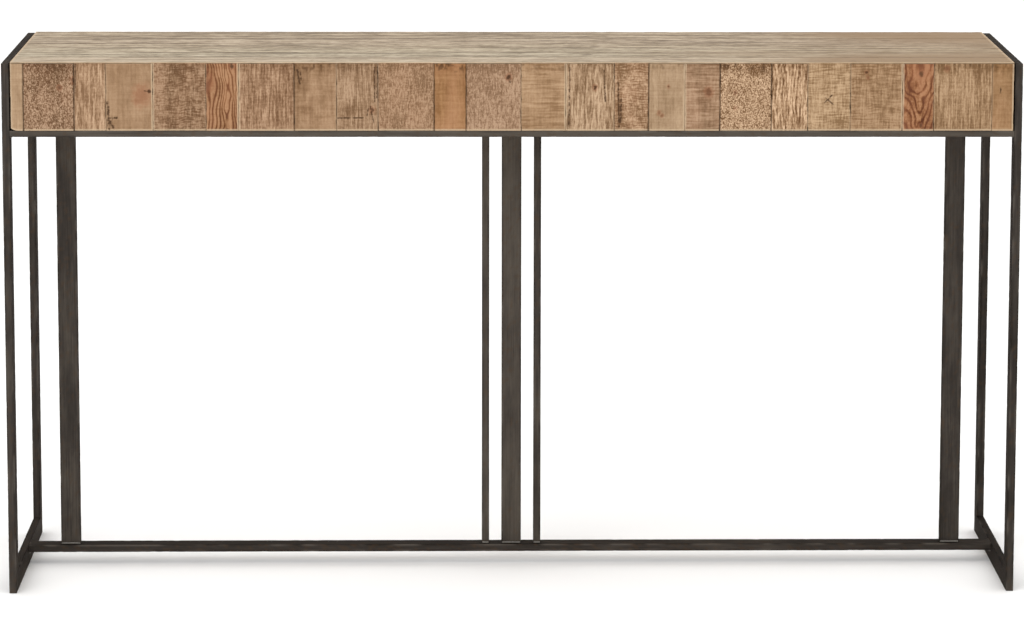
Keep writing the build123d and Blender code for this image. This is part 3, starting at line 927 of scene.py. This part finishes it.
def wood_material(name, surface, colour, spread, axis, wood, red=0.0, lean_colour=None,
                  lean_share=0.8, own_numbers=True):
    """Wood in three tones of one colour: fine fibres along the grain, lines across it and
    specks, then a leaning to another colour, paler corners that are wear and a painted
    highlight, and dark stains, among them the painted shade along the seams. A piece
    with no numbers of its own gets the middle tone and no stains."""
    kind = SURFACES[surface]
    recipe = Recipe(name)
    shade, stain, pale_edges, lean = recipe.numbers() if own_numbers else (0.5, 0.0, 0.0, 0.0)
    size, grit_strength = kind["grit"]
    layers = [(*kind["fibre"], 3.0, 0.6), (*kind["cross"], 3.0, 0.6),
              (size, 1.7 * size, grit_strength, 2.0, 0.7)]
    looks = []
    for across, along, strength, detail, roughness in layers:
        noise = recipe.noise(grain_scale(axis, across, along), detail, roughness)
        shade = recipe.reckon(shade, recipe.contrast(noise, -0.6 * strength, 0.6 * strength))
        looks.append(noise)
    fibre, _, grit = looks
    cloud = recipe.noise(grain_scale(axis, 26, 60), 3.0, 0.55)
    shade = recipe.reckon(shade, recipe.contrast(cloud, -0.4 * kind["cloud"],
                                                 0.4 * kind["cloud"]), clamp=True)
    middle = np.array(colour, float)
    base = recipe.ramp(shade, linear(middle - 3.0 * spread), linear(middle),
                       linear(middle + 2.5 * spread))
    red_colour = toned(wood.red_colour)
    if red:
        heartwood = recipe.contrast(cloud, 0.0, min(1.0, 1.4 * red))
        base = recipe.blend(heartwood, base, red_colour)
    base = recipe.lay_over(base, lean, lean_share,
                           toned(lean_colour) if lean_colour else red_colour)
    # Paler corners: wear, and a painted highlight
    base = recipe.lay_over(base, pale_edges, 0.8, toned(wood.pale_edge_colour))
    # Dark stains: knots, cracks and dirt, and the painted shade along the seams
    base = recipe.lay_over(base, stain, 0.94, toned(wood.stain_colour))
    recipe.fill(recipe.shader, {
        "Base Color": base,
        "Roughness": recipe.contrast(fibre, 0.62, 0.88),
        "Specular IOR Level": 0.25,
        "Normal": recipe.bump(recipe.reckon(fibre, grit), 0.5, 0.4 * MM),
    })
    return recipe.material


def steel_material(name, axis, steel, shift=0.0):
    """Dark gunmetal patina in cloudy tones drawn out along the bar, with brown specks and
    slightly paler rubbed corners."""
    recipe = Recipe(name)
    tone, stain, pale_edges, _ = recipe.numbers()
    fine = recipe.noise(grain_scale(axis, 2.6, 9), 4.0, 0.62)
    cloud = recipe.noise(grain_scale(axis, 16, 90), 3.0, 0.5)
    brush = recipe.noise(grain_scale(axis, 1.6, 80), 3.0, 0.6)
    shade = recipe.reckon(tone, recipe.contrast(fine, -0.10 + shift, 0.10 + shift))
    shade = recipe.reckon(shade, recipe.contrast(brush, -0.16, 0.16))
    shade = recipe.reckon(shade, recipe.contrast(cloud, -0.16, 0.16), clamp=True)
    base = recipe.ramp(shade, (*steel.dark_colour, 1.0), (*steel.mid_colour, 1.0),
                       (*steel.pale_colour, 1.0))
    base = recipe.lay_over(base, stain, 0.5, RUST_BROWN)
    base = recipe.lay_over(base, pale_edges, 0.6, (*steel.pale_edge_colour, 1.0))
    recipe.fill(recipe.shader, {
        "Base Color": base,
        "Metallic": 0.85,
        "Roughness": recipe.contrast(fine, 0.50, 0.66),
        "Specular IOR Level": 0.2,
        "Specular Tint": (0.22, 0.20, 0.18, 1.0),
        "Normal": recipe.bump(recipe.reckon(fine, brush), 0.2, 0.12 * MM),
    })
    return recipe.material


def bright_metal(name, colour, rough_low, rough_high, spot):
    """Bare metal in three tones of one colour, with specks of the size of spot: weld metal and
    plated screws."""
    recipe = Recipe(name)
    tone = recipe.numbers()[0]
    fine = recipe.noise([1 / spot] * 3, 4.0, 0.6)
    shade = recipe.reckon(tone, recipe.spread(fine, -0.3, 0.3), clamp=True)
    dark, pale = [0.35 * c for c in colour], [min(1, 1.4 * c) for c in colour]
    base = recipe.ramp(shade, (*dark, 1.0), (*colour, 1.0), (*pale, 1.0))
    recipe.fill(recipe.shader, {
        "Base Color": base,
        "Metallic": 0.9,
        "Roughness": recipe.spread(fine, rough_low, rough_high),
        "Normal": recipe.bump(fine, 0.3, 0.1 * MM),
    })
    return recipe.material


# ---------------------------------------------------------------- operators

class CONSOLE_OT_face_boards(Operator):
    """Make the upright face boards and the left end board"""

    bl_idname = "console.face_boards"
    bl_label = "Face boards"

    def execute(self, context):
        wood = context.scene.console_wood
        before = "dark"
        for number, spec in enumerate(FACE_BOARDS, 1):
            node = f"front_board_{number:02d}"
            lo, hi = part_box(node)
            shell = face_board_shell(lo[0], hi[0], lo[1], hi[1], lo[2], spec, 100 * number,
                                     before, wood)
            material = wood_material(f"face_wood_{number:02d}", spec["surface"], spec["colour"],
                                     spec["spread"], AXIS_Z, wood, spec["red"])
            add_piece(f"face_board_{number:02d}", shell, material, "face_wood", node)
            before = spec["seam"]
        self.left_end(wood)
        return {"FINISHED"}

    def left_end(self, wood):
        """The left end board: its front edge is worked like a face board, and the rest is a
        plank that runs back."""
        lo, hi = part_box("left_end_board")
        strip = face_board_shell(lo[0], hi[0], FRONT, BOARD_BACK, lo[2], LEFT_STRIP, 50,
                                 "cream", wood, 4 * MM)
        rest_lo = (lo[0], BOARD_BACK, lo[2])
        rest_hi = (hi[0], hi[1], PLANK_UNDERSIDE)
        rest = plank_shell(rest_lo, rest_hi, AXIS_Y, (4, 2, 4, 2), "weathered", 51, wood)
        material = wood_material("face_wood_left_end", "smooth", LEFT_STRIP["colour"],
                                 LEFT_STRIP["spread"], AXIS_Z, wood)
        add_piece("end_board_left", joined([strip, rest]), material, "face_wood",
                  "left_end_board")


class CONSOLE_OT_top_planks(Operator):
    """Make the long planks of the table top"""

    bl_idname = "console.top_planks"
    bl_label = "Top planks"

    def execute(self, context):
        wood = context.scene.console_wood

        def warm(across, along):
            cloud = layered_noise(across / 0.2, along / 0.35, 0, 77, 2) - 0.5
            return ease(along + 0.7 * cloud, -0.05, 0.75)

        for number, (colour, spread, knots) in enumerate(TOP_PLANKS, 1):
            node = f"top_plank_{number}"
            lo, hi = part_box(node)
            outline = None
            spacings = (12, 5, 1.2, 5)
            # Both sides of a plank are a little pale, wear and a painted highlight, and dark, dirt and
            # painted shade in the gap between planks
            front_side = rear_side = (0.2, 0.55)
            if number == 1:
                outline = [(BOARD_BACK, lo[2]), (hi[1], lo[2]), (hi[1], hi[2]),
                           (FRONT + 2 * ARRIS, hi[2]), (FRONT + ARRIS, hi[2] - ARRIS)]
                spacings = (12, 5, 1.2, 1, 5)
                # The first plank's front arris is painted pale: wear, and a painted highlight
                front_side = (0.85, 0.0)
            marks = placed([(across, along, *mark) for along, across, *mark in knots],
                           lo[1], lo[0], shares=1)
            shell = plank_shell(lo, hi, AXIS_X, spacings, "weathered", 4000 + SEED_STEP * number, wood,
                                knots=marks, lean=warm, outline=outline,
                                sides=(front_side, rear_side), dirt_and_shade_width=2.4 * MM,
                                corner=0.9 * MM)
            material = wood_material(f"top_wood_{number}", "weathered", colour, spread, AXIS_X,
                                     wood, lean_colour=wood.warm_colour, lean_share=0.85)
            add_piece(f"plank_{number}", shell, material, "top_wood", node)
        return {"FINISHED"}


def add_plain_board(name, node, slot, material_name, surface, colour, spread, axis, spacings,
                    seed, wood, knots, shown=0, red=0.0):
    """Makes a board that is one plank the size of its CAD node. Its knots are given as places
    across and along it in metres, radius and darkness."""
    lo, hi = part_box(node)
    shell = plank_shell(lo, hi, axis, spacings, surface, seed, wood, shown, knots)
    material = wood_material(material_name, surface, colour, spread, axis, wood, red)
    add_piece(name, shell, material, slot, node)


class CONSOLE_OT_back_and_end(Operator):
    """Make the rear board and the right end board"""

    bl_idname = "console.back_and_end"
    bl_label = "Rear and right end boards"

    def execute(self, context):
        wood = context.scene.console_wood
        add_plain_board("board_rear", "rear_board", "face_wood", "rear_wood", "weathered",
                        (165, 133, 102), 13, AXIS_X, (5, 1.5, 5, 9), 5200, wood,
                        ((0.80, -0.42, 6 * MM, 0.8), (0.77, 0.31, 5 * MM, 0.7)), 1, 0.1)
        add_plain_board("end_board_right", "right_end_board", "face_wood", "right_end_wood",
                        "weathered", (170, 138, 108), 12, AXIS_Y, (1.5, 5, 9, 5), 5400, wood,
                        ((0.79, 0.06, 5 * MM, 0.7),))
        return {"FINISHED"}


class CONSOLE_OT_inside(Operator):
    """Make the base board, and give the hidden inner frame its wood"""

    bl_idname = "console.inside"
    bl_label = "Base board and inner frame"

    def execute(self, context):
        wood = context.scene.console_wood
        add_plain_board("board_base", "base_board", "core_wood", "base_wood", "inner",
                        (188, 154, 112), 10, AXIS_X, (3, 5, 12, 5), 5600, wood,
                        ((-0.08, -0.35, 7 * MM, 0.8), (0.09, 0.22, 6 * MM, 0.8)))
        for node, axis in (("core_front_rail", AXIS_X), ("core_rear_rail", AXIS_X),
                           ("core_left_rib", AXIS_Y), ("core_centre_rib", AXIS_Y),
                           ("core_right_rib", AXIS_Y)):
            material = wood_material(f"{node}_wood", "inner", (196, 164, 122), 9, axis, wood,
                                     own_numbers=False)
            keep_with_material(node, material)
        return {"FINISHED"}


def keep_with_material(node, material):
    """Gives a CAD node that is kept its better material, in every slot it has."""
    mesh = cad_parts[node].data
    for k in range(len(mesh.materials)):
        mesh.materials[k] = material
    if not mesh.materials:
        mesh.materials.append(material)


class CONSOLE_OT_end_loops(Operator):
    """Make the two welded end loops, four mitred bars each"""

    bl_idname = "console.end_loops"
    bl_label = "End loops"

    def execute(self, context):
        steel = context.scene.console_steel
        up = steel_material("loop_steel_upright", AXIS_Z, steel)
        flat = steel_material("loop_steel_level", AXIS_Y, steel)
        for side, seed in (("left", 7000), ("right", 7500)):
            bars = (
                ("front_post", AXIS_Z, up, lambda a, b: b - FRONT,
                 lambda a, b: LOOP_TOP - (b - FRONT)),
                ("rear_post", AXIS_Z, up, lambda a, b: BACK - b,
                 lambda a, b: LOOP_TOP - (BACK - b)),
                ("top_rail", AXIS_Y, flat, lambda a, b: FRONT + (LOOP_TOP - a),
                 lambda a, b: BACK - (LOOP_TOP - a)),
                ("bottom_rail", AXIS_Y, flat, lambda a, b: FRONT + a,
                 lambda a, b: BACK - a),
            )
            for k, (name, axis, material, start, end) in enumerate(bars):
                node = f"{side}_{name}"
                shell = bar_shell(node, axis, seed + SEED_STEP * k, steel, start, end,
                                  LOOP_SHADES[side])
                add_piece(f"steel_{node}", shell, material, "frame_steel", node)
        return {"FINISHED"}


class CONSOLE_OT_rails(Operator):
    """Make the long rails, the cross bearers and the lower stretcher"""

    bl_idname = "console.rails"
    bl_label = "Rails and stretcher"

    def execute(self, context):
        steel = context.scene.console_steel
        long = steel_material("rail_steel", AXIS_X, steel, 0.08)
        cross = steel_material("bearer_steel", AXIS_Y, steel)
        for k, (node, bright) in enumerate(RAIL_SHADES.items()):
            shell = bar_shell(node, AXIS_X, 8000 + SEED_STEP * k, steel, bright=bright)
            add_piece(f"steel_{node}", shell, long, "frame_steel", node)
        for k, side in enumerate(("left", "right")):
            node = f"{side}_cross_bearer"
            shell = bar_shell(node, AXIS_Y, 8400 + SEED_STEP * k, steel)
            add_piece(f"steel_{node}", shell, cross, "frame_steel", node)
        return {"FINISHED"}


class CONSOLE_OT_uprights(Operator):
    """Make the three wide and two slim uprights"""

    bl_idname = "console.uprights"
    bl_label = "Uprights"

    def execute(self, context):
        steel = context.scene.console_steel
        for k, (node, shift) in enumerate(UPRIGHT_SHADES.items()):
            material = steel_material(f"{node}_steel", AXIS_Z, steel, shift)
            shell = bar_shell(node, AXIS_Z, 9000 + SEED_STEP * k, steel)
            add_piece(f"steel_{node}", shell, material, "upright_steel", node)
        return {"FINISHED"}


class CONSOLE_OT_welds(Operator):
    """Lay the weld beads at the uprights' feet and tops and at the long bars' ends"""

    bl_idname = "console.welds"
    bl_label = "Weld beads"

    def execute(self, context):
        steel = context.scene.console_steel
        shells = []
        for node in UPRIGHT_SHADES:
            lo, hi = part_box(node)
            for y, way in ((lo[1], -1), (hi[1], 1)):
                for z, rise in ((STRETCHER_TOP, 1), (RAIL_BOTTOM, -1)):
                    shells.append(bead_shell(AXIS_X, lo[0] + MM, hi[0] - MM, (y, z), (way, rise),
                                             WELD_LEG, len(shells)))
        rail_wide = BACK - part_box("rear_rail")[0][1]
        for side in (-1, 1):
            x = side * LOOP_INNER
            ends = ((-STRETCHER_WELD_HALF, STRETCHER_WELD_HALF, STRETCHER_BOTTOM),
                    (FRONT + RAIL_WELD_INSET, FRONT + rail_wide - MM, RAIL_BOTTOM),
                    (BACK - rail_wide + MM, BACK - RAIL_WELD_INSET, RAIL_BOTTOM))
            for low, high, z in ends:
                shells.append(bead_shell(AXIS_Y, low, high, (z, x), (-1, -side), WELD_LEG,
                                         len(shells)))
        material = bright_metal("weld_metal", tuple(steel.weld_colour), 0.3, 0.55, 1.2 * MM)
        add_piece("weld_runs", joined(shells), material, "weld", "weld_beads")
        return {"FINISHED"}


class CONSOLE_OT_screws(Operator):
    """Make the screws that hold the block to the frame"""

    bl_idname = "console.screws"
    bl_label = "Screws"

    def execute(self, context):
        steel = context.scene.console_steel
        lo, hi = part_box("mounting_screws")
        bearer_x = (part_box("right_upright")[0][0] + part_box("right_upright")[1][0]) / 2
        places = [(side * bearer_x, y) for side in (-1, 1) for y in BEARER_SCREW_Y]
        places += [(side * x, 0.0) for side in (-1, 1) for x in RAIL_SCREW_X]
        shells = [screw_shell(x, y, RAIL_BOTTOM, RAIL_BOTTOM - lo[2], hi[2] - RAIL_BOTTOM)
                  for x, y in places]
        material = bright_metal("screw_plating", tuple(steel.screw_colour), 0.25, 0.4, 2 * MM)
        add_piece("screws", joined(shells), material, "screw", "mounting_screws")
        return {"FINISHED"}


class CONSOLE_OT_stage(Operator):
    """Set the floor, the soft lights and the camera"""

    bl_idname = "console.stage"
    bl_label = "Floor, lights and camera"

    def execute(self, context):
        stage = context.scene.console_stage
        context.scene.view_settings.view_transform = "Standard"
        self.floor(stage)
        self.lights(context, stage)
        self.camera(context, stage)
        return {"FINISHED"}

    def floor(self, stage):
        """A wide level sheet under the table, with a faint unevenness in its colour."""
        half, level = 40.0, -0.2 * MM
        mesh = bpy.data.meshes.new("floor")
        corners = rectangle((-half, -half), (half, half), AXIS_Z)
        mesh.from_pydata([(x, y, level) for x, y in corners], [], [(0, 1, 2, 3)])
        recipe = Recipe("floor_paint")
        cloud = recipe.noise([0.7, 0.7, 0.7], 2.0)
        colour = tuple(stage.floor_colour)
        darker = [0.98 * c for c in colour]
        base = recipe.ramp(cloud, (*darker, 1.0), (*colour, 1.0))
        recipe.fill(recipe.shader, {"Base Color": base, "Roughness": 0.9,
                                    "Specular IOR Level": 0.1})
        mesh.materials.append(recipe.material)
        floor = bpy.data.objects.new("floor", mesh)
        bpy.context.scene.collection.objects.link(floor)

    def lights(self, context, stage):
        """An even room light, a large soft light in front and one above. Each lamp has its name,
        power, width in metres, place and turn in radians."""
        world = bpy.data.worlds.new("room")
        world.use_nodes = True
        background = world.node_tree.nodes["Background"]
        background.inputs["Color"].default_value = (1.0, 0.995, 0.985, 1.0)
        background.inputs["Strength"].default_value = stage.sky
        context.scene.world = world
        for name, power, size, place, turn in (
            ("key_light", stage.key, 3.0, (-2.2, -4.0, 3.2), (0.98, 0.0, -0.5)),
            ("top_light", stage.top, 4.0, (0.5, -0.6, 4.5), (0.1, 0.0, 0.0)),
        ):
            lamp = bpy.data.lights.new(name, "AREA")
            lamp.energy = power
            lamp.size = size
            lamp_object = bpy.data.objects.new(name, lamp)
            lamp_object.location = place
            lamp_object.rotation_euler = turn
            context.scene.collection.objects.link(lamp_object)

    def camera(self, context, stage):
        """The camera's axes: forward from its turn and tilt, right and up leaned by its roll."""
        turn, tilt, roll = stage.camera_turn, -stage.camera_tilt, stage.camera_roll
        forward = np.array([math.sin(turn) * math.cos(tilt), math.cos(turn) * math.cos(tilt),
                            math.sin(tilt)])
        right = np.array([math.cos(turn), -math.sin(turn), 0.0])
        up = np.cross(right, forward)
        leaned_right = right * math.cos(roll) + up * math.sin(roll)
        leaned_up = up * math.cos(roll) - right * math.sin(roll)
        lens = bpy.data.cameras.new("camera")
        lens.lens = stage.lens
        lens.sensor_width = 36.0
        lens.shift_x, lens.shift_y = stage.frame_shift
        lens.clip_end = 200.0
        camera = bpy.data.objects.new("camera", lens)
        columns = np.stack([leaned_right, leaned_up, -forward, stage.camera_place], 1)
        camera.matrix_world = Matrix([*columns.tolist(), [0.0, 0.0, 0.0, 1.0]])
        context.scene.collection.objects.link(camera)
        context.scene.camera = camera


class CONSOLE_PT_panel(Panel):
    """The table's pieces and settings, in the 3D view's sidebar"""

    bl_label = "Console table"
    bl_idname = "CONSOLE_PT_panel"
    bl_space_type = "VIEW_3D"
    bl_region_type = "UI"
    bl_category = "Console table"

    def draw(self, context):
        layout = self.layout
        for step in STEPS:
            layout.operator(step.bl_idname)
        for title, settings in (("Wood", context.scene.console_wood),
                                ("Steel", context.scene.console_steel),
                                ("Stage", context.scene.console_stage)):
            box = layout.box()
            box.label(text=title)
            for name in settings.__annotations__:
                box.prop(settings, name)


SETTINGS = {
    "console_wood": WoodSettings,
    "console_steel": SteelSettings,
    "console_stage": StageSettings,
}
STEPS = (
    CONSOLE_OT_face_boards,
    CONSOLE_OT_top_planks,
    CONSOLE_OT_back_and_end,
    CONSOLE_OT_inside,
    CONSOLE_OT_end_loops,
    CONSOLE_OT_rails,
    CONSOLE_OT_uprights,
    CONSOLE_OT_welds,
    CONSOLE_OT_screws,
    CONSOLE_OT_stage,
)
CLASSES = (*SETTINGS.values(), *STEPS, CONSOLE_PT_panel)


def register():
    """Registers the settings, the operators and the panel."""
    for item in CLASSES:
        bpy.utils.register_class(item)
    for name, settings in SETTINGS.items():
        setattr(bpy.types.Scene, name, PointerProperty(type=settings))


def unregister():
    """Takes away all that register added."""
    for name in SETTINGS:
        delattr(bpy.types.Scene, name)
    for item in reversed(CLASSES):
        bpy.utils.unregister_class(item)


def main():
    """Builds every piece in order."""
    register()
    bpy.ops.console.face_boards()
    bpy.ops.console.top_planks()
    bpy.ops.console.back_and_end()
    bpy.ops.console.inside()
    bpy.ops.console.end_loops()
    bpy.ops.console.rails()
    bpy.ops.console.uprights()
    bpy.ops.console.welds()
    bpy.ops.console.screws()
    bpy.ops.console.stage()


if __name__ == "__main__":
    main()
